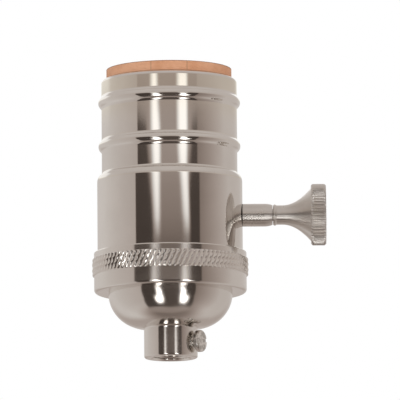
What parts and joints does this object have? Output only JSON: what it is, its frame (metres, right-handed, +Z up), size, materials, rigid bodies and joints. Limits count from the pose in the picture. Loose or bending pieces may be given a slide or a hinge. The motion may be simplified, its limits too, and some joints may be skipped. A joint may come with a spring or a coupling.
{
  "type": "rotary knob lamp socket",
  "caption": "Medium-base lamp socket with a beaded metal shell, fibre liner, knurled turned cap, side set screw and a rotary on-off knob.",
  "frame": {"origin": "centre of the flat face at the bottom of the cap's threaded neck, on the socket's axis", "axes": "+Z up along the socket's axis towards the lamp, +X along the knob's axis away from the socket"},
  "size_m": [0.0615, 0.041, 0.0764],
  "materials": {
    "nickel": "polished nickel plate on brass",
    "brass": "plain bright brass",
    "steel": "plain bright steel",
    "fibre": "dull tan vulcanised fibre",
    "phenolic": "dark brown moulded phenolic"
  },
  "bodies": {
    "socket": {"cap": "nickel", "outer_shell": "nickel", "insulating_liner": "fibre", "cap_liner": "fibre", "switch_body_lower": "phenolic", "switch_body_upper": "phenolic", "body_rivets": "brass", "screw_shell": "brass", "shell_washer": "fibre", "shell_rivets": "brass", "centre_contact": "brass", "line_terminal": "brass", "neutral_terminal": "brass", "line_terminal_screw": "brass", "neutral_terminal_screw": "nickel", "line_blade": "brass", "centre_blade": "brass", "shaft_bushing": "brass", "detent_spring": "steel"},
    "turning": {"switch_shaft": "steel", "shaft_clip": "steel", "switch_rotor": "phenolic", "bridge_contact": "brass", "knob_stem": "nickel", "knob": "nickel"},
    "clamping": {"set_screw": "nickel"}
  },
  "joints": [
    {"name": "knob_turn", "type": "hinge", "parent": "socket", "child": "turning", "pos_m": [0, 0, 0.0377], "axis": [1, 0, 0], "continuous": true},
    {"name": "set_screw_travel", "type": "slide", "parent": "socket", "child": "clamping", "axis": [0.891, -0.454, 0], "range_m": [-0.0009, 0]}
  ]
}
